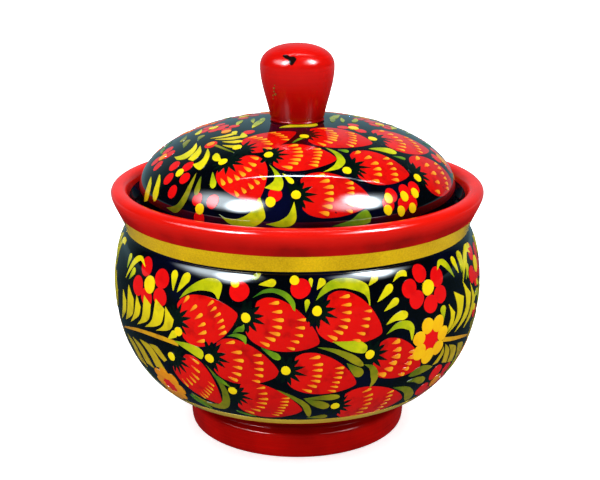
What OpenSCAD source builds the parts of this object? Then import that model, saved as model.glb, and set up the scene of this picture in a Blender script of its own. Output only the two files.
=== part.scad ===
// Turned wooden bowl with a domed lid and a glued-in knob, in millimetres.
// The axis of turning is Z, and the bowl stands on z = 0.

/* [Bowl] */
// Diameter over the outside of the lip
lip_d = 130; // [127:0.5:134]
// Height of the bowl, from the table to the top of the lip
bowl_h = 88.5; // [86:0.5:92]
// Largest diameter of the belly
belly_d = 130; // [127:0.5:134]
// Height of the belly's largest diameter
belly_z = 53.5; // [50:0.5:58]
// Smallest diameter of the neck, under the lip
neck_d = 120.6; // [119:0.2:122]
// Height of the neck's smallest diameter
neck_z = 73.5; // [72:0.1:75]
// Thickness of the wood at the belly
wall = 6; // [5:0.5:8]
// Thickness of the floor, from the table to the inside of the bowl
floor_t = 19; // [17:0.5:22]

/* [Foot] */
// Diameter of the foot
foot_d = 78; // [72:1:82]
// Height of the crease between the foot and the belly
foot_h = 13.5; // [12.5:0.5:15]
// Height of the foot's straight side, up to its ridge
ridge_z = 8.5; // [7:0.5:9.5]
// Depth of the cove between the ridge and the belly
cove_depth = 1.8; // [1:0.1:2.5]

/* [Lid] */
// Largest diameter of the lid
lid_d = 110.6; // [109:0.2:111]
// Height of the ledge that the lid rests on
seat_z = 79; // [78:0.5:80]
// Rise of the lid's dome above the ledge
dome_rise = 30.8; // [27:0.2:36]
// Diameter of the mouth inside the ledge
mouth_d = 105.2; // [104:0.2:105.4]
// Depth of the spigot that centres the lid in the mouth
spigot_h = 3.5; // [2.5:0.5:5]
// Gap between the spigot and the mouth, on each side
spigot_gap = 0.5; // [0.4:0.1:0.8]
// Thickness of the wood at the top of the dome
dome_t = 6; // [5:0.5:8]

/* [Knob] */
// Largest diameter of the knob
knob_d = 25.7; // [23:0.1:28]
// Height of the knob above the dome
knob_h = 26.5; // [24:0.5:30]
// Diameter of the knob where it stands on the dome
knob_base_d = 18.4; // [16:0.2:19]
// Diameter of the tenon that is glued into the lid
tenon_d = 10; // [8:0.5:11]

/* [Hidden] */
$fn = 96;
curve_steps = 14;
lip_r = lip_d / 2;
belly_r = belly_d / 2;
neck_r = neck_d / 2;
foot_r = foot_d / 2;
lid_r = lid_d / 2;
mouth_r = mouth_d / 2;
knob_r = knob_d / 2;
knob_base_r = knob_base_d / 2;
tenon_r = tenon_d / 2;
// The lip is a rounded bead, from its outermost point to its inner crest
lip_w = 5;
lip_bulge = 2.4;
recess_r = lid_r + 1.1;
// The lid stands this far above the ledge, the thickness of two coats of lacquer
seat_gap = 0.1;
lid_z = seat_z + seat_gap;
dome_z = seat_z + dome_rise;
side_z = lid_z + 7.5;
spigot_r = mouth_r - spigot_gap;
spigot_wall = 4.6;
ease = 0.6;

// Points of a cubic curve from a to d, with b and c as its handles
function curve(a, b, c, d) = [
    for (i = [0 : curve_steps])
        let (t = i / curve_steps, s = 1 - t)
        s * s * s * a + 3 * s * s * t * b + 3 * s * t * t * c + t * t * t * d
];

function foot_side() = concat(
    [[0, 0], [foot_r - 1.2, 0]],
    curve([foot_r - 0.6, 0.3], [foot_r - 0.1, 0.8], [foot_r + 0.1, 3], [foot_r, ridge_z - 0.8]),
    curve([foot_r - 0.1, ridge_z], [foot_r - 0.3, ridge_z + 0.8],
        [foot_r - cove_depth, ridge_z + 1], [foot_r - cove_depth, ridge_z + 2.4])
);

function belly_side() = concat(
    curve([foot_r + 0.3, foot_h], [foot_r + 15, foot_h + 2.5],
        [belly_r, belly_z - 22], [belly_r, belly_z]),
    curve([belly_r, belly_z + 0.5], [belly_r, belly_z + 8.3],
        [neck_r + 2.3, neck_z - 1.6], [neck_r, neck_z])
);

function lip_side() = concat(
    curve([neck_r + 0.1, neck_z + 0.4], [neck_r + 0.6, neck_z + 4.1],
        [lip_r - 1.1, bowl_h - 6.3], [lip_r - 0.2, bowl_h - lip_bulge - 1]),
    curve([lip_r, bowl_h - lip_bulge], [lip_r + 0.1, bowl_h - 0.6],
        [lip_r - 1.6, bowl_h], [lip_r - 2.4, bowl_h]),
    curve([lip_r - 2.8, bowl_h], [lip_r - 4.2, bowl_h],
        [lip_r - lip_w - 0.2, bowl_h - 0.6], [lip_r - lip_w - 0.8, bowl_h - 2.4])
);

function bowl_inside() = concat(
    curve([lip_r - lip_w - 1.1, bowl_h - 3.2], [recess_r + 1.2, seat_z + 3],
        [recess_r, seat_z + 2.6], [recess_r, seat_z + 0.4]),
    [[recess_r - 0.4, seat_z], [mouth_r + ease, seat_z], [mouth_r, seat_z - ease]],
    curve([mouth_r, seat_z - 4], [mouth_r, seat_z - 9],
        [belly_r - wall, belly_z + 12], [belly_r - wall, belly_z]),
    curve([belly_r - wall, belly_z - 0.5], [belly_r - wall, belly_z - 24],
        [foot_r + 8, floor_t], [foot_r - 10, floor_t]),
    [[0, floor_t]]
);

module bowl() {
    color("#c01c12")
    rotate_extrude()
    polygon(concat(foot_side(), belly_side(), lip_side(), bowl_inside()));
}

function dome_outside() = concat(
    curve([lid_r - 1.4, lid_z], [lid_r - 0.6, lid_z], [lid_r, side_z - 5], [lid_r, side_z]),
    curve([lid_r, side_z + 0.5], [lid_r, side_z + 12.5],
        [lid_r - 21, dome_z], [knob_base_r + 1, dome_z])
);

function dome_inside() = concat(
    curve([knob_base_r, dome_z - dome_t], [lid_r - 26, dome_z - dome_t],
        [spigot_r - spigot_wall, side_z + 12], [spigot_r - spigot_wall, side_z]),
    [[spigot_r - spigot_wall, lid_z - spigot_h], [spigot_r - ease, lid_z - spigot_h],
     [spigot_r, lid_z - spigot_h + ease], [spigot_r, lid_z]]
);

module lid() {
    color("#14181f")
    difference() {
        rotate_extrude()
        polygon(concat(dome_outside(), [[0, dome_z], [0, dome_z - dome_t]], dome_inside()));
        translate([0, 0, dome_z - dome_t - 1])
        cylinder(r = tenon_r, h = dome_t + 2);
    }
}

function knob_side() = concat(
    [[knob_base_r - 0.2, dome_z], [knob_base_r + 0.2, dome_z + 0.5],
     [knob_base_r - 0.1, dome_z + 0.9], [knob_base_r - 0.1, dome_z + 1.3]],
    curve([knob_base_r + 0.25, dome_z + 2], [knob_base_r + 0.9, dome_z + 6],
        [knob_r, dome_z + 13], [knob_r, dome_z + 18.5]),
    curve([knob_r, dome_z + 19], [knob_r, dome_z + 23.5],
        [knob_r - 5, dome_z + knob_h], [0, dome_z + knob_h])
);

module knob() {
    color("#d0190f")
    rotate_extrude()
    polygon(concat([[0, dome_z - dome_t], [tenon_r, dome_z - dome_t], [tenon_r, dome_z]], knob_side()));
}

bowl();
lid();
knob();
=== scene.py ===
"""A lidded wooden bowl, turned on a lathe, painted by hand with strawberries and leaves, and lacquered.

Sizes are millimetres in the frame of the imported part. The painting is laid out flat and then wrapped onto
the turned surface. On the bowl a place is an angle round the axis in degrees, 0 at the front and positive
to the right, and a distance along the surface in millimetres from the crease above the foot. On the lid it
is a pair of millimetre distances from the knob, to the right and to the back, measured over the dome.
"""

import math
import random

import bpy
import numpy as np
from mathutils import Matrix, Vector
from mathutils.geometry import delaunay_2d_cdt


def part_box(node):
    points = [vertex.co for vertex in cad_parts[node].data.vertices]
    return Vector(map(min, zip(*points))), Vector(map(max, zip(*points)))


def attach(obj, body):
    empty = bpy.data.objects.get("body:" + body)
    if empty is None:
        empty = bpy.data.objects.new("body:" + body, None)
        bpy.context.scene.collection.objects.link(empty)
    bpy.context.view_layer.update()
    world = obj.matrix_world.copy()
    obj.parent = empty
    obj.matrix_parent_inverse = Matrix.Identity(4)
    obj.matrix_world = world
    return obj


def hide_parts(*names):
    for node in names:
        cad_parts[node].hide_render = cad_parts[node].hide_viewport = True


MM = 0.001
SEGMENTS = 256  # faces round each turning
SHEET_R = 65.0  # the radius at which an angle on the bowl becomes a length on the flat sheet
KNOB_SHEET_R = 11.0  # the same for the knob
GRID = 2.0  # between the points that are added inside a brush mark
LAYER = 0.05  # one coat of paint
ROOT = -0.12  # the underside of all paint, inside the wood
EDGE_WOBBLE = 0.12  # how far the edge of a painted band wanders
POINTED = 0.05  # a brush mark that is narrower than this at an end stops in a point
FULL_TURN = 6.28  # radians
SHARP_EDGE = 38  # degrees

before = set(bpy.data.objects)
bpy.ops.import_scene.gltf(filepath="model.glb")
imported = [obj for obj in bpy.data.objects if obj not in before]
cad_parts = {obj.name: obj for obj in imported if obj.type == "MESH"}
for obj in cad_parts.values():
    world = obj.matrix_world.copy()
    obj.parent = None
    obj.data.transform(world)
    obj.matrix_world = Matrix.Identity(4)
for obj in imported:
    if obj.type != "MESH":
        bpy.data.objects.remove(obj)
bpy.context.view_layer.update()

# Sizes of the turned pieces, the same as in the part
bowl_h = round(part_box("bowl")[1].z / MM, 1)
lip_r = float(round(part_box("bowl")[1].x / MM))
lid_r = round(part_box("lid")[1].x / MM, 1)
dome_z = round(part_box("lid")[1].z / MM, 1)
knob_top = round(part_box("knob")[1].z / MM, 1)
belly_r, belly_z = 65.0, 53.5
neck_r, neck_z = 60.3, 73.5
wall, floor_t = 6.0, 19.0
foot_r, foot_h, ridge_z, cove_depth = 39.0, 13.5, 8.5, 1.8
lip_w, lip_bulge = 5.0, 2.4
recess_r, mouth_r, seat_z = lid_r + 1.1, 52.6, 79.0
lid_z, side_z, dome_t = 79.1, 86.6, 6.0
spigot_r, spigot_wall, spigot_h = 52.1, 4.6, 3.5
knob_r, knob_base_r = 12.85, 9.2
ease = 0.6


# ---- Turned profiles, from the axis out and from the bottom up ----


def curve(a, b, c, d, steps=20):
    """Points of a cubic curve from a to d, with b and c as its handles."""
    t = np.linspace(0, 1, steps + 1)[:, None]
    s = 1 - t
    a, b, c, d = (np.array(p, float) for p in (a, b, c, d))
    return s**3 * a + 3 * s * s * t * b + 3 * s * t * t * c + t**3 * d


def foot_side():
    return np.concatenate([
        [(foot_r - 1.2, 0)],
        curve((foot_r - 0.6, 0.3), (foot_r - 0.1, 0.8), (foot_r + 0.1, 3), (foot_r, ridge_z - 0.8), 14),
        curve((foot_r - 0.1, ridge_z), (foot_r - 0.3, ridge_z + 0.8),
              (foot_r - cove_depth, ridge_z + 1), (foot_r - cove_depth, ridge_z + 2.4), 12),
    ])


def belly_side():
    return np.concatenate([
        curve((foot_r + 0.3, foot_h), (foot_r + 15, foot_h + 2.5),
              (belly_r, belly_z - 22), (belly_r, belly_z), 44),
        curve((belly_r, belly_z + 0.5), (belly_r, belly_z + 8.3),
              (neck_r + 2.3, neck_z - 1.6), (neck_r, neck_z), 24),
    ])


def lip_side():
    return np.concatenate([
        curve((neck_r + 0.1, neck_z + 0.4), (neck_r + 0.6, neck_z + 4.1),
              (lip_r - 1.1, bowl_h - 6.3), (lip_r - 0.2, bowl_h - lip_bulge - 1), 18),
        curve((lip_r, bowl_h - lip_bulge), (lip_r + 0.1, bowl_h - 0.6),
              (lip_r - 1.6, bowl_h), (lip_r - 2.4, bowl_h), 12),
        curve((lip_r - 2.8, bowl_h), (lip_r - 4.2, bowl_h),
              (lip_r - lip_w - 0.2, bowl_h - 0.6), (lip_r - lip_w - 0.8, bowl_h - 2.4), 12),
    ])


def recess_side():
    return curve((lip_r - lip_w - 1.1, bowl_h - 3.2), (recess_r + 1.2, seat_z + 3),
                 (recess_r, seat_z + 2.6), (recess_r, seat_z + 0.4), 14)


def hollow_side():
    return np.concatenate([
        [(recess_r - 0.4, seat_z), (mouth_r + ease, seat_z), (mouth_r, seat_z - ease)],
        curve((mouth_r, seat_z - 4), (mouth_r, seat_z - 9),
              (belly_r - wall, belly_z + 12), (belly_r - wall, belly_z), 18),
        curve((belly_r - wall, belly_z - 0.5), (belly_r - wall, belly_z - 24),
              (foot_r + 8, floor_t), (foot_r - 10, floor_t), 30),
    ])


def dome_outside():
    return np.concatenate([
        curve((lid_r - 1.4, lid_z), (lid_r - 0.6, lid_z), (lid_r, side_z - 5), (lid_r, side_z), 14),
        curve((lid_r, side_z + 0.5), (lid_r, side_z + 12.5),
              (lid_r - 21, dome_z), (knob_base_r + 1, dome_z), 54),
    ])


def dome_inside():
    inner_r = spigot_r - spigot_wall
    return np.concatenate([
        curve((knob_base_r, dome_z - dome_t), (lid_r - 26, dome_z - dome_t),
              (inner_r, side_z + 12), (inner_r, side_z), 30),
        [(inner_r, lid_z - spigot_h), (spigot_r - ease, lid_z - spigot_h),
         (spigot_r, lid_z - spigot_h + ease), (spigot_r, lid_z)],
    ])


def knob_side():
    return np.concatenate([
        [(knob_base_r - 0.2, dome_z), (knob_base_r + 0.2, dome_z + 0.5),
         (knob_base_r - 0.1, dome_z + 0.9), (knob_base_r - 0.1, dome_z + 1.3)],
        curve((knob_base_r + 0.25, dome_z + 2), (knob_base_r + 0.9, dome_z + 6),
              (knob_r, dome_z + 13), (knob_r, dome_z + 18.5), 26),
        curve((knob_r, dome_z + 19), (knob_r, dome_z + 23.5), (knob_r - 5, knob_top), (0.05, knob_top), 34),
    ])


class Turning:
    """A turned surface that paint is wrapped onto. s is the distance along its profile from the height zero,
    or from the axis when the painting is laid out as seen from above."""

    def __init__(self, profile, zero, top_view=False):
        points = np.array(profile, float)
        run = np.concatenate([[0], np.cumsum(np.hypot(*np.diff(points, axis=0).T))])
        tangent = np.gradient(points, run, axis=0)
        normal = np.stack([tangent[:, 1], -tangent[:, 0]], 1)
        self.normal = normal / np.linalg.norm(normal, axis=1)[:, None]
        self.points = points
        self.top_view = top_view
        self.s = run[-1] - run if top_view else run - np.interp(zero, points[:, 1], run)
        if top_view:
            self.s, self.points, self.normal = self.s[::-1], self.points[::-1], self.normal[::-1]

    def ring(self, s, angle, lift):
        """Places in metres, and normals, at distances s along the profile and angles round the axis."""
        r, z = (np.interp(s, self.s, self.points[:, i]) for i in (0, 1))
        nr, nz = (np.interp(s, self.s, self.normal[:, i]) for i in (0, 1))
        size = np.hypot(nr, nz)
        nr, nz = nr / size, nz / size
        r, z = r + nr * lift, z + nz * lift
        place = np.stack([r * np.sin(angle), -r * np.cos(angle), z], -1) * MM
        return place, np.stack([nr * np.sin(angle), -nr * np.cos(angle), nz], -1)

    def wrap(self, sheet, lift):
        """Places and normals of points on the flat sheet."""
        x, y = sheet[:, 0], sheet[:, 1]
        if self.top_view:
            return self.ring(np.hypot(x, y), np.arctan2(x, -y), lift)
        return self.ring(y, x / SHEET_R, lift)

    def s_at_height(self, z):
        """The distance along the outside at a height."""
        top = int(np.argmax(self.points[:, 1]))
        return float(np.interp(z, self.points[:top, 1], self.s[:top]))


bowl_skin = Turning(np.concatenate([foot_side(), belly_side(), lip_side(), recess_side()]), foot_h)
lid_skin = Turning(np.concatenate([dome_outside(), [(0, dome_z)]]), dome_z, top_view=True)
knob_skin = Turning(knob_side(), dome_z + 0.5)


# ---- Meshes ----

ANGLES = np.linspace(0, 2 * math.pi, SEGMENTS, endpoint=False)


def new_piece(name, body, points, faces, material, loop_normals=None):
    mesh = bpy.data.meshes.new(name)
    mesh.from_pydata([tuple(p) for p in points], [], faces)
    mesh.validate()
    mesh.polygons.foreach_set("use_smooth", [True] * len(mesh.polygons))
    if loop_normals is None:
        mesh.set_sharp_from_angle(angle=math.radians(SHARP_EDGE))
    else:
        mesh.normals_split_custom_set(loop_normals)
    mesh.materials.append(material)
    piece = bpy.data.objects.new(name, mesh)
    bpy.context.scene.collection.objects.link(piece)
    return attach(piece, body)


def wall_faces(rings, closed=False):
    """Faces from each ring of points to the next, and from the last to the first if closed."""
    faces = []
    for ring in range(rings if closed else rings - 1):
        low, high = ring * SEGMENTS, (ring + 1) % rings * SEGMENTS
        for i in range(SEGMENTS):
            j = (i + 1) % SEGMENTS
            faces.append((low + i, low + j, high + j, high + i))
    return faces


def revolve(name, body, profile, material):
    """A closed turned solid. The profile runs from the axis at one end to the axis at the other."""
    inner = [p for p in profile if p[0] > 1e-6]
    points = [(r * math.sin(a) * MM, -r * math.cos(a) * MM, z * MM) for r, z in inner for a in ANGLES]
    first, last = len(points), len(points) + 1
    points += [(0, 0, profile[0][1] * MM), (0, 0, profile[-1][1] * MM)]
    faces = wall_faces(len(inner))
    top = (len(inner) - 1) * SEGMENTS
    for i in range(SEGMENTS):
        j = (i + 1) % SEGMENTS
        faces.append((first, j, i))
        faces.append((last, top + i, top + j))
    return new_piece(name, body, points, faces, material)


def band(name, low, high, material, level=1, rows=24):
    """A closed thin coat of paint round the bowl, from distance low to high, with hand-painted edges."""
    hand = random.Random(name)

    def edge():
        waves = [(count, hand.uniform(0, FULL_TURN), hand.uniform(0.4, 1)) for count in (2, 3, 5, 9)]
        return EDGE_WOBBLE * sum(size * np.sin(count * ANGLES + phase) for count, phase, size in waves) / 2

    low_edge, high_edge = low + edge(), high + edge()
    rings = []
    for start, end, lift in ((0, 1, level * LAYER), (1, 0, ROOT)):
        for share in np.linspace(start, end, rows):
            rings.append(bowl_skin.ring(low_edge + (high_edge - low_edge) * share, ANGLES, lift)[0])
    return new_piece(name, "bowl", np.concatenate(rings), wall_faces(len(rings), closed=True), material)


def paint(name, body, skin, shapes, level, material):
    """One colour of the painting: closed thin brush strokes on the turned surface. A shape is an outline on
    the flat sheet and the line that the brush ran along. Strokes that overlap become one. Each corner keeps
    how far along its mark it lies and a shade of its own for the mark."""
    sheet, outlines = [], []
    for outline, _ in shapes:
        outlines.append(list(range(len(sheet), len(sheet) + len(outline))))
        sheet += [Vector(p) for p in outline]
    for outline, _ in shapes:
        (x0, y0), (x1, y1) = np.min(outline, axis=0), np.max(outline, axis=0)
        for i in range(math.ceil(x0 / GRID), math.floor(x1 / GRID) + 1):
            for j in range(math.ceil(y0 / GRID), math.floor(y1 / GRID) + 1):
                sheet.append(Vector((i * GRID + 0.3 * (j % 2), j * GRID)))
    flat, _, triangles, _, _, sources = delaunay_2d_cdt(sheet, [], outlines, 0, 1e-5, True)
    kept = [(tuple(t), s) for t, s in zip(triangles, sources) if s]
    flat = np.array([tuple(p) for p in flat])
    used = sorted({v for t, _ in kept for v in t})
    index = {v: i for i, v in enumerate(used)}
    flat = flat[used]
    top_points, normals = skin.wrap(flat, level * LAYER)
    low_points, _ = skin.wrap(flat, ROOT)
    count = len(used)
    faces, loop_normals, along, shade = [], [], [], []
    border = {}
    for triangle, source in kept:
        t = tuple(index[v] for v in triangle)
        faces.append(t)
        loop_normals += [normals[v] for v in t]
        (ax, ay), (bx, by) = shapes[source[0]][1]
        reach = max((bx - ax) ** 2 + (by - ay) ** 2, 1e-9)
        along += [((flat[v][0] - ax) * (bx - ax) + (flat[v][1] - ay) * (by - ay)) / reach for v in t]
        shade += [(source[0] * 0.618) % 1] * 3
        for a, b in ((t[0], t[1]), (t[1], t[2]), (t[2], t[0])):
            if (b, a) in border:
                del border[b, a]
            else:
                border[a, b] = (along[-1], shade[-1])
    for t in list(faces):
        faces.append(tuple(v + count for v in reversed(t)))
        loop_normals += [-normals[v] for v in reversed(t)]
        along += [0.5] * 3
        shade += [0.5] * 3
    for (a, b), (run, tint) in border.items():
        faces.append((a, a + count, b + count, b))
        side = np.cross(top_points[b] - top_points[a], normals[a])
        side /= max(np.linalg.norm(side), 1e-12)
        loop_normals += [side] * 4
        along += [run] * 4
        shade += [tint] * 4
    piece = new_piece(name, body, np.concatenate([top_points, low_points]), faces, material, loop_normals)
    for label, values in (("along", along), ("shade", shade)):
        attribute = piece.data.attributes.new(label, "FLOAT", "CORNER")
        if len(attribute.data) == len(values):
            attribute.data.foreach_set("value", values)
    return piece


# ---- Brush shapes ----


def smooth_line(points, steps, closed=False):
    """A smooth line through the points, with that many steps between each two."""
    p = np.array(points, float)
    count = len(p)
    line = []
    for i in range(count if closed else count - 1):
        if closed:
            a, b, c, d = (p[(i + k) % count] for k in (-1, 0, 1, 2))
        else:
            a, b, c, d = (p[min(max(i + k, 0), count - 1)] for k in (-1, 0, 1, 2))
        for t in np.arange(steps) / steps:
            line.append(0.5 * (2 * b + (c - a) * t + (2 * a - 5 * b + 4 * c - d) * t * t
                               + (3 * b - a - 3 * c + d) * t**3))
    if not closed:
        line.append(p[-1])
    return np.array(line)


def brush_width(kind, t):
    """How wide the brush mark is at share t of its length, where 1 is its fullest."""
    if kind == "leaf":
        return np.sin(np.pi * t**0.8) ** 0.8
    if kind == "drop":
        return np.where(t < 0.72, (t / 0.72) ** 0.8, np.sqrt(np.clip(1 - ((t - 0.72) / 0.28) ** 2, 0, 1)))
    if kind == "comma":
        return np.where(t < 0.6, np.sin(np.pi / 2 * t / 0.6) ** 1.1, np.clip((1 - t) / 0.4, 0, 1) ** 0.75)
    if kind == "stem":
        return 0.35 + 0.65 * np.sin(np.pi / 2 * t)
    raise ValueError(kind)


# Half of a strawberry's outline: share of the way from the heart of its sepals to its tip, and share of its
# half width
BERRY_SIDE = [(0.07, 0.56), (0.10, 0.74), (0.17, 0.90), (0.28, 0.99), (0.40, 1.0),
              (0.56, 0.91), (0.72, 0.72), (0.86, 0.46), (0.95, 0.23)]
# The two rows of seeds: share of the way to the tip, size of the seeds
SEED_ROWS = ((0.42, 1.0), (0.71, 0.85))
SEED_SIDE = [(-1, 0), (-0.5, 0.15), (0.1, 0.28), (0.6, 0.32), (0.92, 0.2)]
SEED_LENGTH = 3.5
STALK_DOT = 1.55
SEPAL_TURNS = (-118, -88, -59, -30, 0, 29, 58, 87, 117)
SEPAL_REACH = 6.7


class Brush:
    """Collects the shapes of a painting by colour. move puts a group's shapes in their place on the sheet,
    and slip is how far the hand strays from them."""

    def __init__(self, seed):
        self.colours = {}
        self.hand = random.Random(seed)
        self.move = lambda points: points
        self.slip = 0.0

    def add(self, colour, outline, start, end):
        outline = self.move(np.array(outline, float))
        x, y = outline.T
        if np.sum(x * np.roll(y, -1) - np.roll(x, -1) * y) < 0:
            outline = outline[::-1]
        line = self.move(np.array([start, end], float))
        self.colours.setdefault(colour, []).append((outline, line))

    def shift(self):
        """A small slip of the hand for one mark."""
        return np.array([self.hand.uniform(-1, 1), self.hand.uniform(-1, 1)]) * self.slip

    def stroke(self, colour, kind, width, points):
        """One brush mark along the points, thin where the brush touches down."""
        spine = smooth_line(np.array(points, float) + self.shift(), 16 // (len(points) - 1) + 3)
        run = np.concatenate([[0], np.cumsum(np.hypot(*np.diff(spine, axis=0).T))])
        half = brush_width(kind, run / run[-1]) * width / 2
        tangent = np.gradient(spine, axis=0)
        across = np.stack([-tangent[:, 1], tangent[:, 0]], 1)
        across /= np.linalg.norm(across, axis=1)[:, None]
        left, right = spine + across * half[:, None], spine - across * half[:, None]
        first = 1 if half[0] < POINTED else 0
        last = len(spine) - 1 if half[-1] < POINTED else len(spine)
        outline = np.concatenate([left[:last], spine[last:], right[first:last][::-1]])
        self.add(colour, outline, spine[0], spine[-1])

    def blade(self, colour, foot, one_edge, other_edge):
        """A broad leaf between two edges, which start at its foot. Where the brush was lifted slantwise the
        edges end apart."""
        slip = self.shift()
        one = smooth_line(np.array([foot, *one_edge], float) + slip, 5)
        other = smooth_line(np.array([foot, *other_edge], float) + slip, 5)
        closed = np.hypot(*(one[-1] - other[-1])) < POINTED
        outline = np.concatenate([one, other[1:-1 if closed else None][::-1]])
        self.add(colour, outline, one[0], (one[-1] + other[-1]) / 2)

    def dot(self, colour, centre, radius):
        turn = self.hand.uniform(0, FULL_TURN)
        outline = []
        for i in range(20):
            a = i * math.pi / 10
            r = radius * (1 + 0.035 * math.sin(2 * a + turn) + 0.02 * math.sin(3 * a + 2 * turn))
            outline.append((centre[0] + r * math.cos(a), centre[1] + r * math.sin(a)))
        corners = ((centre[0] + side * radius, centre[1] + side * radius) for side in (-1, 1))
        self.add(colour, outline, *corners)

    def strawberry(self, stalk, heart, tip, widths, seeds, lean, turn, plump):
        """A strawberry from the heart of its sepals to its tip. widths are its half widths to the left and to
        the right of the way to the tip. lean slants its two rows of seeds and turn turns each seed."""
        slip = self.shift()
        stalk, heart, tip = (np.array(p, float) + slip for p in (stalk, heart, tip))
        length = np.hypot(*(tip - heart))
        axis = (tip - heart) / length
        side = np.array([-axis[1], axis[0]])
        angle = math.atan2(axis[1], axis[0])

        def at(along, across):
            return heart + axis * along + side * across

        left = [at(u * length, v * widths[0]) for u, v in BERRY_SIDE]
        right = [at(u * length, -v * widths[1]) for u, v in BERRY_SIDE]
        rim = [at(0.1 * length, 0)] + left + [tip] + right[::-1]
        self.add("strawberry", smooth_line(rim, 4, closed=True), at(0, 0), tip)
        for (share, size), count in zip(SEED_ROWS, seeds):
            reach = np.interp(share * 0.94, *zip(*BERRY_SIDE)) - 0.19
            radius = share * length
            for v in np.linspace(-widths[1] * reach, widths[0] * reach, count):
                v += self.hand.uniform(-0.12, 0.12)
                u = math.sqrt(radius * radius - v * v) - lean * v + self.hand.uniform(-0.25, 0.25)
                long = SEED_LENGTH * size * self.hand.uniform(0.92, 1.08)
                self.seed(at(u, v), angle + turn + 0.4 * math.atan2(v, u), long, plump)
        self.sepals(heart, angle)
        self.dot("dot", stalk, STALK_DOT)

    def seed(self, centre, angle, length, plump):
        direction = np.array([math.cos(angle), math.sin(angle)]) * length / 2
        side = np.array([-direction[1], direction[0]]) * plump
        rim = SEED_SIDE + [(u, -v) for u, v in SEED_SIDE[:0:-1]]
        self.add("seed", smooth_line([centre + direction * u + side * v for u, v in rim], 2, closed=True),
                 centre - direction, centre + direction)

    def sepals(self, heart, angle):
        """The dark star of sepals, whose points cut into the crown."""
        outline = []
        for turn in SEPAL_TURNS:
            reach = SEPAL_REACH * (1 - 0.25 * abs(turn) / 120) * self.hand.uniform(0.9, 1.08)
            a = angle + math.radians(turn + self.hand.uniform(-4, 4))
            for swing, r in ((-0.25, 3.1), (-0.12, 4.6), (0, reach), (0.12, 4.6), (0.25, 3.1)):
                outline.append((heart[0] + r * math.cos(a + swing), heart[1] + r * math.sin(a + swing)))
        self.add("sepal", outline, heart, (heart[0] + 6 * math.cos(angle), heart[1] + 6 * math.sin(angle)))

    def flower(self, colour, petals, radius, centre, eye, eye_colour="dot"):
        """Round petals at their places round an eye."""
        for petal in petals:
            self.dot(colour, petal, radius * self.hand.uniform(0.94, 1.06))
        self.dot(eye_colour, centre, eye)

    def berry(self, centre, radius, eye, eye_radius):
        self.dot("berry", centre, radius)
        self.dot("dot", eye, eye_radius)


def ring_of(centre, radius, count, first):
    """Places evenly round a centre, the first at an angle in degrees."""
    turns = [math.radians(first + i * 360 / count) for i in range(count)]
    return [(centre[0] + radius * math.cos(t), centre[1] + radius * math.sin(t)) for t in turns]


def spot(angle, s):
    """A place on the bowl, in degrees and mm, as millimetres on the flat sheet."""
    return math.radians(angle) * SHEET_R, s


def spots(places):
    return [spot(*place) for place in places]


# ---- The painting on the bowl ----

BOWL_STRAWBERRIES = [
    # stalk dot, heart of the sepals, tip, half widths, seeds, lean, turn, plumpness of the seeds
    ((-35.5, 49.5), (-36.5, 53.3), (-16.6, 58.5), (7.6, 9.2), (6, 6), 0.3, 0.4, 1.0),
    ((-14.2, 57.8), (-14.3, 58.2), (6, 50.2), (9.0, 7.3), (7, 5), 0.0, 0.2, 1.0),
    ((5.4, 60.5), (5.4, 60.5), (24, 51.6), (8.9, 7.6), (7, 5), 0.0, 0.2, 1.0),
    ((-25.4, 42.5), (-25, 43.5), (-5, 39.5), (8.3, 7.6), (6, 5), 0.1, 0.12, 1.0),
    ((-3.2, 40.8), (-3.2, 40.8), (17.2, 34.3), (8.4, 6.8), (7, 6), 0.0, 0.15, 0.9),
    ((-39.4, 39.5), (-38.2, 39.3), (-25, 23), (8.8, 6.3), (6, 6), 0.1, 0.0, 0.75),
    ((-19.5, 31), (-19.3, 29.5), (1.5, 23.3), (7.9, 8.9), (7, 7), -0.1, 0.25, 0.8),
    ((11.8, 25), (12, 24.8), (37, 21.5), (8.7, 8.4), (7, 6), 0.0, 0.2, 0.85),
    ((20.5, 44.8), (20.8, 44.5), (39, 35.8), (7.6, 6.7), (6, 5), 0.0, 0.3, 1.5),
]

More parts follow.
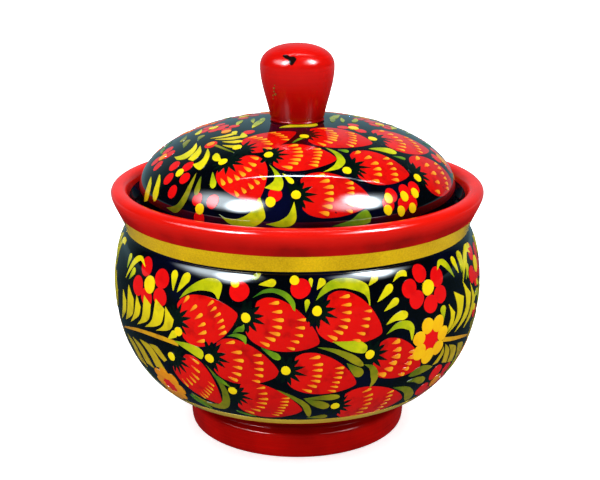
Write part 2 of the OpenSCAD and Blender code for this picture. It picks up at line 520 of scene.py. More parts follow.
BOWL_STROKES = [
    # colour, kind, width, places
    ("yellow", "drop", 2.8, [(-38, 62.3), (-38.4, 69)]),
    ("yellow", "drop", 3.2, [(-36.4, 62.3), (-33, 69)]),
    ("yellow", "comma", 2.3, [(-63, 59.5), (-60.5, 63.7), (-58, 67.2), (-55, 68.6), (-51.8, 66.6)]),
    ("lime", "drop", 2.3, [(-60.3, 60), (-57.1, 64.6)]),
    ("lime", "drop", 2.4, [(-63, 63), (-62.2, 68.3)]),
    ("lime", "leaf", 2.0, [(-13, 70), (-11.8, 70.9), (-10.6, 71.9)]),
    ("yellow", "drop", 2.5, [(-11, 68.3), (-6, 69.3)]),
    ("yellow", "drop", 1.4, [(4, 67.8), (3.8, 70.7)]),
    ("yellow", "drop", 2.5, [(5.5, 67), (7.6, 70.3)]),
    ("lime", "drop", 1.7, [(2.3, 60.2), (2.9, 64.2)]),
    ("yellow", "drop", 2.4, [(20.5, 67), (23.6, 70)]),
    ("yellow", "drop", 2.8, [(22.8, 61.6), (28, 66.3)]),
    ("yellow", "drop", 2.4, [(24.7, 58.4), (29.6, 61.6)]),
    ("yellow", "drop", 3.1, [(25.3, 54), (28.5, 55.8), (32.5, 56)]),
    ("lime", "comma", 2.8, [(25.4, 50.8), (28.5, 52.8), (31.5, 52.8), (33.8, 51), (34.1, 46.7)]),
    ("lime", "comma", 2.4, [(53.5, 62.7), (51.6, 66), (49.6, 68.6), (47.5, 69.2), (45.8, 67.2)]),
    ("yellow", "drop", 2.5, [(56.4, 63.3), (54.2, 69.5)]),
    ("yellow", "drop", 3.6, [(59.8, 61.7), (59, 70.2)]),
    ("lime", "drop", 2.8, [(46.9, 50.2), (46.4, 55.3)]),
    ("green", "drop", 2.3, [(-10, 48.5), (-4.6, 44.8)]),
    ("green", "leaf", 1.6, [(-25.2, 36.5), (-23, 34.8), (-20, 32.5)]),
    ("olive", "drop", 2.6, [(5.5, 48.8), (10, 47.4), (14.5, 44.8), (18.8, 41)]),
    ("olive", "drop", 3.5, [(13.8, 42.6), (18.7, 37.4)]),
    ("olive", "comma", 2.8, [(18.9, 41.5), (21.4, 40), (22.6, 37), (22.7, 34.5), (21.8, 31.8)]),
    ("yellow", "drop", 2.5, [(-39.8, 45.8), (-36.3, 49)]),
    ("olive", "comma", 3.1, [(-27, 40), (-23.5, 34.5), (-22.2, 29), (-23.3, 23.8), (-26.5, 20.9),
                             (-31, 21.5), (-36, 25)]),
    ("olive", "drop", 2.5, [(-6, 33.2), (-1, 29.6), (2.6, 25.5), (3.9, 19.3)]),
    ("olive", "drop", 2.6, [(2, 29.4), (12.8, 29.5)]),
    ("olive", "drop", 2.6, [(3, 18.4), (10, 19)]),
    ("olive", "drop", 4.2, [(30.5, 29.5), (36.5, 26.5), (40.3, 21.5), (42, 17.8)]),
    ("olive", "leaf", 3.4, [(35.3, 33), (40, 33.9), (45.4, 33.4)]),
    ("olive", "drop", 3.2, [(35.3, 30.5), (39.5, 30), (44, 27.6)]),
    ("green", "leaf", 3.4, [(-37, 24), (-33.5, 21), (-30.5, 17.8)]),
    ("green", "leaf", 1.2, [(-20.5, 20.4), (-17.5, 19), (-14, 18.2)]),
    ("olive", "leaf", 2.6, [(-62, 26), (-58.5, 21), (-53.5, 18.5)]),
    ("lime", "leaf", 2.2, [(61, 24), (62.5, 28), (61.5, 32)]),
]

# A small sprig where there is no room for a fern
BOWL_SPRIG = [
    ("stem", "stem", 1.3, [(-47, 44.8), (-43, 45), (-37, 45)]),
    ("lime", "comma", 2.6, [(-43, 46), (-45, 49.5), (-48, 52), (-51, 51.8), (-52, 50)]),
    ("fern", "drop", 2.8, [(-40.5, 46.5), (-42, 50.5), (-41.5, 54.5)]),
    ("fern", "drop", 2.4, [(-45.5, 54), (-49.5, 56)]),
    ("olive", "drop", 2.8, [(-43.5, 43.8), (-48, 41.5), (-53, 41)]),
    ("fern_low", "drop", 3.0, [(-42, 43), (-46.5, 38.5), (-52, 36.5)]),
    ("fern_low", "drop", 2.6, [(-43, 40), (-45, 36.5), (-48.5, 33.5)]),
]

BOWL_BLADES = [
    # colour, foot, rest of one edge, rest of the other edge
    ("lime", (-35.4, 60.4), [(-33.3, 63.7), (-30, 66.8), (-26.6, 68.6), (-23.8, 68.7), (-22, 67.5),
                             (-21.8, 65.5), (-22.4, 62.5)],
     [(-32.3, 62.8), (-29, 64.3), (-25.5, 64.6), (-23.8, 64), (-22.9, 62.7)]),
    ("lime", (5.1, 63.7), [(6.5, 66.6), (8.5, 69), (11, 70.1), (14, 70.2), (17, 69.5), (19.2, 68.3),
                           (20.5, 66.5), (20.6, 61)],
     [(7.4, 65.5), (10, 66.9), (13, 67.1), (16, 66.2), (18.5, 65), (19.8, 63.4), (20.3, 61)]),
    ("green", (-12.5, 64.1), [(-9.8, 66.6), (-7, 67.4), (-4, 66.8), (-2, 65.4), (-0.6, 63), (-0.6, 60.5)],
     [(-9.5, 65.7), (-6.5, 66), (-4, 64.9), (-2.2, 63), (-1.2, 61)]),
    ("green", (-19.6, 51.2), [(-17.2, 52.4), (-14.2, 51.8), (-14.1, 49.2)],
     [(-17, 51.2), (-15.2, 50.3), (-14.3, 49.2)]),
    ("green", (-18, 52.4), [(-16.8, 54.2), (-15.2, 55.2), (-14.7, 55.8)],
     [(-16, 53.1), (-14.8, 53.3), (-14.5, 54.6)]),
    ("lime", (9.6, 50.5), [(13.5, 50.2), (17.3, 49.9), (19.4, 48.2), (19.6, 46.8)],
     [(12, 48.5), (15, 46.6), (18.2, 45.6), (19.3, 46)]),
    ("lime", (-37.5, 45.8), [(-33, 46.2), (-29.5, 45.8), (-27.5, 44.6), (-27.3, 43)],
     [(-35, 44.6), (-32, 43.3), (-28.8, 41.7), (-27.8, 41.9)]),
    ("yellow", (28.3, 67), [(30, 69.4), (32, 70.2), (33.5, 69.6), (33.4, 68)], [(31, 68.3), (33.1, 68)]),
    ("olive", (1.8, 29.6), [(5, 28.5), (7.5, 27.8), (9.8, 26), (9.8, 24.6)],
     [(3.5, 27.2), (5.5, 25.2), (8, 23.8), (9.4, 24.1)]),
    ("yellow", (62.8, 59.5), [(61.8, 64), (62.8, 68), (65.5, 70.3), (69.5, 70)],
     [(63.2, 64), (64.5, 67), (66.5, 68.3), (69.5, 68.4)]),
]

# Leaves of the ferns: foot, middle of the hollow edge, tip, corner, middle of the bulging edge
FERN_ABOVE_LEFT = [
    ((-44.8, 47.2), (-41.1, 50.5), (-40.5, 56.6), (-37.1, 53), (-38.8, 49.2)),
    ((-50.3, 46.7), (-46.3, 50.7), (-44.8, 58), (-40.8, 55.6), (-42.8, 49.8)),
    ((-54.8, 46), (-51.4, 50.2), (-50.4, 57.6), (-46.9, 55.4), (-48.2, 49.8)),
    ((-59.4, 45.2), (-56, 50), (-54.5, 56.4), (-52.1, 53), (-53.6, 49.3)),
    ((-63.6, 44.4), (-61, 50), (-60.3, 58), (-56.3, 54.3), (-57.4, 48.8)),
    ((-68.5, 43), (-65.6, 48.5), (-64.5, 55), (-61.9, 51.8), (-63, 47.6)),
]
FERN_BELOW_LEFT = [
    ((-49.2, 40.9), (-46.2, 38.2), (-43.5, 36), (-41.9, 37.2), (-45.3, 41)),
    ((-55, 40.5), (-50.6, 36.6), (-49, 31.9), (-44.4, 32.6), (-48.6, 39.9)),
    ((-60.5, 39.2), (-56.8, 35), (-55.6, 30.8), (-51, 30.2), (-54.4, 37.7)),
    ((-66.2, 38), (-63, 33.5), (-62, 29.3), (-57, 28.3), (-60.3, 36.3)),
]
FERN_ABOVE_RIGHT = [
    ((48.8, 44.8), (50.6, 50), (49.3, 55), (52.8, 51), (52, 47.3)),
    ((49.5, 44.4), (54.2, 50), (52.4, 58.2), (58.2, 54.8), (56.6, 48)),
    ((53.8, 43.5), (60.2, 50.5), (58.2, 60), (64, 54), (62.2, 47.3)),
    ((60, 42.8), (65.2, 49.5), (64, 57.5), (68.5, 51.5), (66.2, 45.7)),
]
FERN_BELOW_RIGHT = [
    ((48.7, 40), (47.5, 37), (45.2, 34), (47.6, 34.2), (49.5, 37.3)),
    ((49.4, 40.8), (50.3, 36.5), (50.4, 33), (53.7, 31.8), (52.8, 37.2)),
    ((51.8, 39.6), (54.3, 35.5), (54.8, 31.4), (59, 30), (57.3, 36.7)),
    ((58.3, 37.7), (60, 33.5), (61.5, 30), (66, 30.3), (63.5, 35.8)),
]


def fern(brush, stem, above, below):
    """A fern: its stem, and the curved leaves above and below it."""
    brush.stroke("stem", "stem", 1.6, spots(stem))
    for colour, leaves in (("fern", above), ("fern_low", below)):
        for foot, hollow, tip, corner, bulge in leaves:
            brush.blade(colour, spot(*foot), spots([hollow, tip]), spots([bulge, corner]))


def garland(brush, left_fern):
    """One repeat of the bowl's painting, about 140 degrees wide, with a fern on the right and a fern or a
    sprig on the left.
    """
    for stalk, heart, tip, *rest in BOWL_STRAWBERRIES:
        brush.strawberry(spot(*stalk), spot(*heart), spot(*tip), *rest)
    for colour, kind, width, places in BOWL_STROKES:
        brush.stroke(colour, kind, width, spots(places))
    for colour, foot, one_edge, other_edge in BOWL_BLADES:
        brush.blade(colour, spot(*foot), spots(one_edge), spots(other_edge))
    brush.berry(spot(-16.5, 65.8), 3.3, spot(-17.9, 68.2), 1.45)
    brush.berry(spot(0.9, 67.5), 3.2, spot(-0.8, 70), 1.5)
    brush.flower("berry", spots([(38.3, 68), (45, 65.2), (45.6, 59.3), (41.3, 57.2), (36, 60), (33.7, 64)]),
                 3.1, spot(40.7, 62.8), 2.6)
    brush.flower("berry", spots([(-51.2, 67), (-43.2, 65), (-43.1, 59), (-49.3, 57.2), (-54.3, 59.7)]),
                 3.2, spot(-48.2, 61.8), 2.9)
    brush.flower("gold", ring_of(spot(41.8, 44.8), 5.8, 7, 8), 2.75, spot(41.8, 44.8), 3.8, "berry")
    brush.flower("orange", ring_of(spot(-45.8, 24.8), 5.4, 8, 0), 2.5, spot(-45.8, 24.8), 3.9, "berry")
    brush.flower("berry", spots([(49, 29.4), (56.5, 27.6), (46, 22.6), (50, 19.2), (57.5, 21.3)]), 3.2,
                 spot(52.3, 24.2), 3.0, "orange")
    fern(brush, [(68, 37), (60, 39.5), (53, 41.4), (47.5, 43)], FERN_ABOVE_RIGHT, FERN_BELOW_RIGHT)
    if left_fern:
        stem = [(-68, 40), (-62, 42), (-55, 43.9), (-48, 44.9), (-42, 45.2), (-36, 45)]
        fern(brush, stem, FERN_ABOVE_LEFT, FERN_BELOW_LEFT)
    else:
        for colour, kind, width, places in BOWL_SPRIG:
            brush.stroke(colour, kind, width, spots(places))
        brush.berry(spot(-50.5, 45.5), 2.6, spot(-51.5, 47.3), 1.2)


# ---- The painting on the lid, in the same order of values ----

LID_STRAWBERRIES = [
    ((-24.4, -35.5), (-23, -36), (-13.3, -55.6), (9.7, 6.9), (7, 5), 0.0, 0.1, 1.2),
    ((-19.7, -28.3), (-18.5, -30.4), (-0.5, -18.6), (6.3, 7.2), (6, 5), 0.0, -0.6, 1.0),
    ((-9.3, -35.8), (-9, -36), (12.8, -37.6), (7.2, 8.3), (7, 6), 0.0, 0.1, 1.2),
    ((-0.4, -54.4), (-0.4, -54.4), (25.3, -52.5), (8.7, 7.6), (7, 6), 0.0, 0.1, 1.2),
    ((2.3, -23.2), (2.3, -21.4), (25, -22.8), (9.3, 8.9), (8, 6), 0.0, -0.2, 1.1),
    ((25.2, -18.8), (26, -17.3), (46.6, -7.6), (8.7, 9.2), (7, 6), 0.0, 0.2, 1.0),
    ((41.1, -34), (40.5, -32.5), (57.4, -16), (8.4, 8.4), (5, 6), 0.0, 0.2, 1.3),
    ((16.1, -42.7), (17.3, -40.6), (37.8, -34.6), (9.3, 7.3), (6, 5), 0.0, 0.3, 1.3),
]

LID_STROKES = [
    ("yellow", "drop", 1.8, [(-4.8, -45.8), (-1.3, -50.2)]),
    ("green", "drop", 1.9, [(13.2, -31.8), (16.8, -32.2)]),
    ("lime", "drop", 3.6, [(23.5, -27.7), (28, -26), (33.3, -24.7)]),
    ("green", "drop", 1.6, [(31.6, -28.2), (36.5, -26.7)]),
    ("green", "stem", 1.2, [(-1.6, -28.6), (0, -26.5), (1.6, -24.6)]),
    ("olive", "drop", 2.3, [(-32, -39.2), (-34.6, -46)]),
    ("lime", "drop", 2.3, [(-27.9, -39.3), (-28, -46.4)]),
    ("yellow", "leaf", 2.6, [(-26.9, -29.2), (-26.6, -32.5), (-24.8, -34.8)]),
    ("yellow", "drop", 4.0, [(-48.4, -25.2), (-49.8, -29.5), (-53.4, -34)]),
    ("fern", "drop", 2.0, [(-29.5, -15.7), (-25, -16.8), (-20.5, -16)]),
    ("fern", "drop", 2.4, [(-27.8, -18), (-23, -20), (-18.4, -20.4)]),
    ("fern", "drop", 2.2, [(-25, -21.6), (-21.5, -23.4), (-18, -24.2)]),
    ("fern", "drop", 1.8, [(-24.9, -24.4), (-22, -26.7), (-19, -28)]),
    ("yellow", "drop", 2.6, [(-18.3, -16.3), (-17.7, -21.3)]),
    ("yellow", "drop", 2.0, [(-20.5, -17.5), (-21.3, -13.4)]),
    ("lime", "leaf", 2.8, [(-12, 0.5), (-13.4, -5.5), (-15.3, -12)]),
    ("yellow", "drop", 7.0, [(-6, -13.2), (0, -10), (6.8, -7.5)]),
    ("olive", "stem", 1.0, [(-20.8, -31.4), (-24, -27.6), (-27.5, -22.8)]),
    ("lime", "leaf", 1.9, [(12, -4), (12.3, 1), (12.2, 5)]),
    ("lime", "leaf", 1.5, [(15.5, -3.5), (15.7, 0), (15.4, 4.5)]),
    ("lime", "leaf", 2.0, [(19.2, -2), (20.2, 2), (20.8, 6)]),
    ("green", "leaf", 2.2, [(45, -1), (48, 3), (48.5, 9)]),
    ("green", "drop", 2.6, [(58, -13), (60.5, -7), (60.8, -2)]),
    ("olive", "drop", 2.6, [(-34, -14), (-32.5, -9.5)]),
    ("olive", "drop", 2.8, [(-39, -16), (-38, -9)]),
    ("yellow", "drop", 2.4, [(33.3, 0), (34.6, 6.5)]),
    ("olive", "drop", 2.4, [(39, 1), (40.5, 8)]),
]

LID_BLADES = [
    ("green", (12.5, -63.6), [(18.8, -60.3), (21.3, -57.5), (23.8, -55.6), (26.2, -57)],
     [(18.8, -62.3), (23.5, -60.8), (26.4, -58.8)]),
    ("lime", (-27.5, -55.8), [(-24.8, -59.7), (-20.2, -62.2), (-15.5, -63), (-12, -61.8), (-11, -60),
                              (-12.2, -54.4)],
     [(-25.3, -57.8), (-21.2, -59.3), (-17, -58.8), (-14.5, -56.9), (-12.8, -54.4)]),
    ("lime", (-11.2, -63), [(-7, -64.3), (-2.5, -64.3), (-0.3, -62), (-1, -56.8)],
     [(-6.8, -62.6), (-3.4, -61.1), (-1.9, -58.8), (-1.1, -56.8)]),
    ("lime", (-9.1, -41.2), [(-6, -45.5), (-4.5, -49.5), (-5.3, -52.6), (-7.8, -52.3), (-10.7, -51.1)],
     [(-7.4, -46), (-7.8, -49), (-10.7, -51.1)]),
    ("lime", (9.2, -31.4), [(13.2, -33.6), (15.4, -37.2), (15.2, -40), (13, -42.8), (8.4, -44.8)],
     [(11.8, -34.6), (12.8, -37.8), (11.8, -41.2), (9.7, -43.7), (8.4, -44.8)]),
    ("olive", (-48.7, -41.2), [(-45.8, -45.6), (-42, -46.6), (-38, -45), (-35, -40.6), (-33.7, -36.6)],
     [(-45.7, -43.1), (-42.8, -44.1), (-39.5, -43), (-36.6, -40.2), (-33.7, -36.6)]),
    ("yellow", (-42.2, -20.3), [(-41, -23.5), (-38, -25.5), (-35.3, -24.2), (-33.9, -20.4), (-34.3, -16)],
     [(-39.4, -21.6), (-36.1, -20.2), (-34.3, -16)]),
    ("yellow", (-32.7, -19.7), [(-32.1, -24.7), (-33.2, -27.8), (-35, -29.2)],
     [(-33.8, -22.8), (-35.6, -25.2), (-36.8, -26.9)]),
    ("yellow", (-29.9, -24), [(-29.1, -27.6), (-29.3, -31), (-30.6, -34.3), (-32.4, -35.8), (-34, -33.8),
                              (-35, -31.2)], [(-30.6, -27.6), (-31.3, -30), (-32.8, -31.3), (-35, -31.2)]),
    ("yellow", (-52.6, -21.4), [(-53, -25.5), (-55, -28), (-58, -28.2), (-61, -24.6)],
     [(-55.3, -23.6), (-58, -24.4), (-61, -24.6)]),
]

LID_BERRIES = [
    # berry, its yellow dot
    ((40.1, -39.4), (40.8, -41.2)),
    ((36.7, -42.9), (36.9, -45)),
    ((40.8, -45), (41.5, -46.6)),
    ((37.3, -47.8), (37.2, -50.3)),
    ((31.9, -47.2), (31, -48.8)),
    ((31.5, -50.8), (31.8, -52.6)),
    ((-7.3, -54), (-8.9, -56.3)),
]


def lid_half(brush):
    """Half of the lid's painting. The other half is the same, turned round the knob."""
    for strawberry in LID_STRAWBERRIES:
        brush.strawberry(*strawberry)
    for stroke in LID_STROKES:
        brush.stroke(*stroke)
    for blade in LID_BLADES:
        brush.blade(*blade)
    for centre, eye in LID_BERRIES:
        brush.berry(centre, 2.4, eye, 1.7)
    brush.flower("berry", [(-42.1, -26.4), (-44.7, -31.4), (-36.9, -31), (-38.2, -36.3), (-43.8, -38.4)], 2.3,
                 (-40, -32.2), 1.65)
    brush.flower("berry", [(-34.5, -47.5), (-28.9, -50.9), (-36.1, -53.5)], 2.25, (-34.4, -51), 1.8)
    brush.flower("berry", [(-44.7, -15), (-49.3, -18.2), (-50.5, -12.5), (-45.6, -9.8)], 2.2,
                 (-47.4, -13.8), 1.8, "orange")
    brush.flower("berry", [(-24.1, -9.6), (-21.6, -6.5), (-26.5, -6.5)], 1.9, (-24.1, -12), 1.7, "orange")
    brush.flower("berry", [(19.1, -6.3), (15.5, -10.8), (21.4, -12.6)], 2.0, (19, -10.4), 1.9)
    brush.flower("berry", [(49.6, -11.3), (55.8, -8.2), (49.8, -3.2), (56, -2.8)], 2.3,
                 (52.4, -6.8), 2.7, "orange")
    brush.flower("berry", ring_of((29, 3), 3.8, 5, 20), 1.9, (29, 3), 1.7)
    brush.dot("berry", (-28.9, -21.6), 2.3)
    brush.dot("orange", (-29, -21), 1.4)
    brush.dot("berry", (-16.2, -16.3), 2.0)


# ---- Materials ----


def linear(red, green, blue):
    """A screen colour, 0 to 255, as the shader's linear values."""
    shares = [c / 255 for c in (red, green, blue)]
    return tuple(c / 12.92 if c <= 0.04045 else ((c + 0.055) / 1.055) ** 2.4 for c in shares) + (1.0,)


class Nodes:
    """Short calls to add and join the shader nodes of a material or world."""

    def __init__(self, owner):
        owner.use_nodes = True
        self.owner = owner
        self.tree = owner.node_tree
        self.shader = self.tree.nodes.get("Principled BSDF")

    def put(self, socket, value):
        """Give a socket a number, a colour or the output of another node."""
        if isinstance(value, bpy.types.NodeSocket):
            self.tree.links.new(value, socket)
        else:
            socket.default_value = value

    def fill(self, **values):
        """Fill the shader's own sockets, named with _ for a space."""
        for name, value in values.items():
            self.put(self.shader.inputs[name.replace("_", " ")], value)

    def add(self, kind, inputs=None, **settings):
        node = self.tree.nodes.new(kind)
        for key, value in settings.items():
            setattr(node, key, value)
        for key, value in (inputs or {}).items():
            self.put(node.inputs[key], value)
        return node

    def place(self):
        return self.add("ShaderNodeTexCoord").outputs["Object"]

    def parts(self, vector):
        return self.add("ShaderNodeSeparateXYZ", {0: vector}).outputs

    def noise(self, scale, detail=3.0, stretch=(1, 1, 1)):
        mapped = self.add("ShaderNodeMapping", {"Vector": self.place(), "Scale": stretch}).outputs[0]
        inputs = {"Vector": mapped, "Scale": scale, "Detail": detail}
        return self.add("ShaderNodeTexNoise", inputs).outputs["Fac"]

    def ramp(self, value, low, high, start=0.0, end=1.0, **settings):
        """Go from start to end while the value goes from low to high."""
        inputs = {"Value": value, "From Min": low, "From Max": high, "To Min": start, "To Max": end}
        return self.add("ShaderNodeMapRange", inputs, **settings).outputs[0]

    def math(self, operation, a, b=0.0):
        return self.add("ShaderNodeMath", {0: a, 1: b}, operation=operation).outputs[0]

    def sum(self, a, share_a, b, share_b):
        return self.math("ADD", self.math("MULTIPLY", a, share_a), self.math("MULTIPLY", b, share_b))

    def dot(self, a, b):
        return self.add("ShaderNodeVectorMath", {0: a, 1: b}, operation="DOT_PRODUCT").outputs["Value"]

    def mix(self, factor, a, b):
        node = self.add("ShaderNodeMix", data_type="RGBA")
        for key, value in (("Factor", factor), ("A", a), ("B", b)):
            self.put([s for s in node.inputs if s.name == key and s.enabled][0], value)
        return [s for s in node.outputs if s.enabled][0]

    def attribute(self, name):
        return self.add("ShaderNodeAttribute", attribute_name=name).outputs["Fac"]

    def glow(self, kind, colour, strength):
        return self.add(kind, {"Color": colour, "Strength": strength}).outputs[0]

    def by_ray(self, camera, mirrored, rest):
        """One shader for what the camera sees, one for what the lacquer mirrors, one for other light."""
        path = self.add("ShaderNodeLightPath").outputs
        unseen = self.add("ShaderNodeMixShader", {0: path["Is Glossy Ray"], 1: rest, 2: mirrored}).outputs[0]
        return self.add("ShaderNodeMixShader", {0: path["Is Camera Ray"], 1: unseen, 2: camera}).outputs[0]


def lacquer(nodes, colour, roughness=0.5, coat=1.0, coat_roughness=0.045, metallic=0.0):
    """Paint under clear gloss lacquer, which follows the fine rings that the lathe left."""
    nodes.fill(Base_Color=colour, Metallic=metallic, Roughness=roughness, Specular_IOR_Level=0.0,
               Coat_Weight=coat, Coat_Roughness=coat_roughness, Coat_IOR=1.5)
    rings = nodes.noise(1.0, 2.0, (25, 25, 900))
    waves = nodes.noise(160.0, 2.0)
    bump_inputs = {"Height": nodes.sum(rings, 0.35, waves, 0.65), "Strength": 0.5, "Distance": 0.00006}
    bump = nodes.add("ShaderNodeBump", bump_inputs).outputs[0]
    nodes.fill(Normal=bump, Coat_Normal=bump)
    return nodes.owner


def ground_paint():
    """Black ground with a breath of blue, laid on by brush."""
    nodes = Nodes(bpy.data.materials.new("black_ground"))
    cloud = nodes.ramp(nodes.noise(45.0, 4.0), 0.5, 0.8)
    return lacquer(nodes, nodes.mix(cloud, linear(1, 2, 5), linear(4, 6, 38)))


def red_paint(name, light, dark, coat, painted_shade, heights, coat_roughness=0.1):
    """Red brushed on while the piece turned: faint darker rings, and worn thin in places. From the second
    height to the first, in mm, it turns to a darker colour, which is painted shade, and its lacquer gets
    thinner."""
    nodes = Nodes(bpy.data.materials.new(name))
    rings = nodes.ramp(nodes.noise(1.0, 4.0, (30, 30, 1400)), 0.3, 0.7)
    cloud = nodes.ramp(nodes.noise(60.0, 5.0), 0.3, 0.75)
    colour = nodes.mix(nodes.math("MULTIPLY", cloud, 0.6), light, dark)
    colour = nodes.mix(nodes.math("MULTIPLY", rings, 0.25), colour, dark)
    height = nodes.math("ADD", nodes.parts(nodes.place())["Z"], nodes.math("MULTIPLY", cloud, 1.2 * MM))
    rise = nodes.ramp(height, heights[0] * MM, heights[1] * MM)
    # Painted shade: the red turns darker towards the first height
    colour = nodes.mix(rise, nodes.mix(cloud, painted_shade, dark), colour)
    coat = nodes.math("MULTIPLY", nodes.ramp(rise, -0.3, 1.0), coat)
    return lacquer(nodes, colour, 0.4, coat, coat_roughness)


def gold_paint(name, light, dark):
    """Gold from metal powder under warm lacquer, slightly grainy."""
    nodes = Nodes(bpy.data.materials.new(name))
    grain = nodes.ramp(nodes.noise(1800.0, 3.0), 0.3, 0.75)
    cloud = nodes.ramp(nodes.noise(50.0, 4.0), 0.3, 0.7)
    return lacquer(nodes, nodes.mix(nodes.sum(grain, 0.45, cloud, 0.55), light, dark), 0.42, metallic=0.25)


def brush_paint(name, start, end, dark, streak):
    """The colour of one brush load. It turns from start to end along each mark, with darker streaks where
    it is thin."""
    nodes = Nodes(bpy.data.materials.new(name))
    run = nodes.ramp(nodes.attribute("along"), 0.0, 1.0)
    cloud = nodes.noise(420.0, 3.0)
    run = nodes.math("ADD", run, nodes.math("MULTIPLY", nodes.math("SUBTRACT", cloud, 0.5), 0.9))
    colour = nodes.mix(nodes.ramp(run, 0.0, 1.0), linear(*start), linear(*end))
    thin = nodes.ramp(nodes.noise(260.0, 5.0), 0.52, 0.75)
    load = nodes.math("MULTIPLY", nodes.attribute("shade"), 0.35)
    thin = nodes.math("MULTIPLY", nodes.math("ADD", thin, load), streak)
    return lacquer(nodes, nodes.mix(thin, colour, linear(*dark)))


# For each colour: how many coats high it lies, its material's name, its colour where a mark starts, where it
# ends and in the thin streaks, and the strength of the streaks
PAINTS = {
    "strawberry": (1.0, "strawberry_red", (204, 15, 8), (190, 9, 6), (126, 4, 4), 0.6),
    "berry": (1.2, "berry_red", (212, 12, 10), (200, 10, 12), (160, 6, 12), 0.3),
    "sepal": (1.5, "sepal_dark", (2, 12, 8), (3, 22, 12), (2, 5, 4), 0.4),
    "stem": (1.7, "stem_orange", (176, 120, 18), (198, 150, 16), (130, 74, 18), 0.5),
    "olive": (1.9, "leaf_olive", (76, 98, 12), (140, 130, 16), (56, 64, 10), 0.5),
    "fern_low": (2.0, "fern_gold", (150, 134, 12), (184, 155, 20), (96, 84, 10), 0.5),
    "green": (2.1, "leaf_green", (36, 92, 20), (110, 145, 16), (26, 66, 14), 0.5),
    "fern": (2.3, "fern_yellow", (176, 158, 12), (208, 190, 14), (130, 110, 10), 0.5),
    "lime": (2.5, "leaf_lime", (124, 148, 10), (192, 190, 12), (84, 108, 8), 0.5),
    "yellow": (2.7, "leaf_yellow", (184, 180, 12), (214, 200, 14), (126, 130, 10), 0.45),
    "gold": (2.9, "petal_gold", (222, 165, 8), (222, 180, 14), (205, 128, 8), 0.4),
    "orange": (3.1, "petal_orange", (214, 128, 8), (218, 145, 14), (190, 92, 8), 0.4),
    "seed": (3.3, "seed_yellow", (205, 80, 20), (226, 165, 26), (205, 90, 20), 0.3),
    "dot": (3.5, "dot_yellow", (222, 190, 8), (218, 205, 14), (205, 150, 8), 0.3),
    "dark_patch": (3.0, "patch_black", (14, 6, 6), (24, 10, 8), (4, 2, 2), 0.5),
    "speck": (2.0, "speck_brown", (150, 110, 40), (70, 50, 20), (40, 20, 10), 0.8),
}
materials = {colour: brush_paint(*looks) for colour, (_, *looks) in PAINTS.items()}


# ---- The pieces ----

# Bands of colour on the bowl: distances along the surface above the foot, and heights at the neck
FOOT_RED_TOP = 13.5
FOOT_GOLD = (13.3, 17.3)
NECK_GOLD = (74.2, 80)
LIP_RED_BOTTOM = 79.7
# The back of the bowl repeats the front: turn in degrees, stretch sideways, slip of the hand, and whether
# there is a fern on the left
REPEATS = ((0, 1.0, 0.0, True), (115, 0.9, 0.45, False), (231, 0.84, 0.45, True))
GARLAND_RISE = 0.55
# Where a small dark patch lies near the top of the knob, and the small specks below, in mm round it
# and up it
KNOB_DARK_PATCH = [(-5.2, 24.2), (-3.9, 24.7), (-2.5, 23.9), (-1.2, 24), (-0.3, 23), (-0.8, 21.8), (-1.6, 20.8),
             (-2.4, 21.4), (-2.8, 22.7), (-4, 23.2)]
KNOB_SPECKS = [(-7.7, 12.6, 0.36), (-7.9, 11.4, 0.3), (-7.5, 10.4, 0.42), (-8.6, 9.9, 0.3), (-9, 8.6, 0.2),
               (-7.2, 13.7, 0.22)]


def painted(name, body, skin, brush):
    """A piece for each colour that the brush holds."""
    return [paint(f"{name}_{colour}", body, skin, shapes, PAINTS[colour][0], materials[colour])
            for colour, shapes in brush.colours.items()]


def make_bowl():
    sides = [foot_side(), belly_side(), lip_side()]
    outline = np.concatenate([[(0, 0)], *sides, recess_side(), hollow_side(), [(0, floor_t)]])
    wood = revolve("bowl_wood", "bowl", outline, ground_paint())
    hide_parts("bowl")
    bead_z = bowl_h - lip_bulge
    # Painted shade: the lip's face below the bead is darker red
    lip_red = red_paint("lip_red", linear(214, 22, 8), linear(168, 12, 8), 0.7,
                        linear(108, 10, 8), (bead_z - 3.2, bead_z + 1.4))
    # Painted shade: the cove above the foot's ridge is darker red
    foot_red = red_paint("foot_red", linear(234, 12, 3), linear(112, 3, 2), 0.4,
                         linear(88, 3, 3), (ridge_z + 3, ridge_z - 0.5))
    gold = gold_paint("band_gold", linear(236, 194, 16), linear(172, 136, 12))
    # A lighter copy of the neck's gold for the band that faces down: painted light
    foot_gold = gold_paint("foot_gold", linear(240, 205, 60), linear(200, 160, 36))
    at_height = bowl_skin.s_at_height
    crest = float(bowl_skin.s[sum(map(len, sides)) - 1])
    coats = [
        band("bowl_foot_red", float(bowl_skin.s[0]) + 0.2, FOOT_RED_TOP, foot_red, rows=60),
        band("bowl_foot_gold", *FOOT_GOLD, foot_gold, 1.2),
        band("bowl_neck_gold", *map(at_height, NECK_GOLD), gold),
        band("bowl_lip_red", at_height(LIP_RED_BOTTOM), crest + 1.2, lip_red, 1.2, rows=60),
    ]
    brush = Brush(7)
    for turn, stretch, slip, left_fern in REPEATS:
        shift = math.radians(turn) * SHEET_R
        brush.move = lambda p, k=stretch, d=shift: p * (k, 1) + (d, GARLAND_RISE)
        brush.slip = slip
        garland(brush, left_fern)
    coats += painted("bowl", "bowl", bowl_skin, brush)


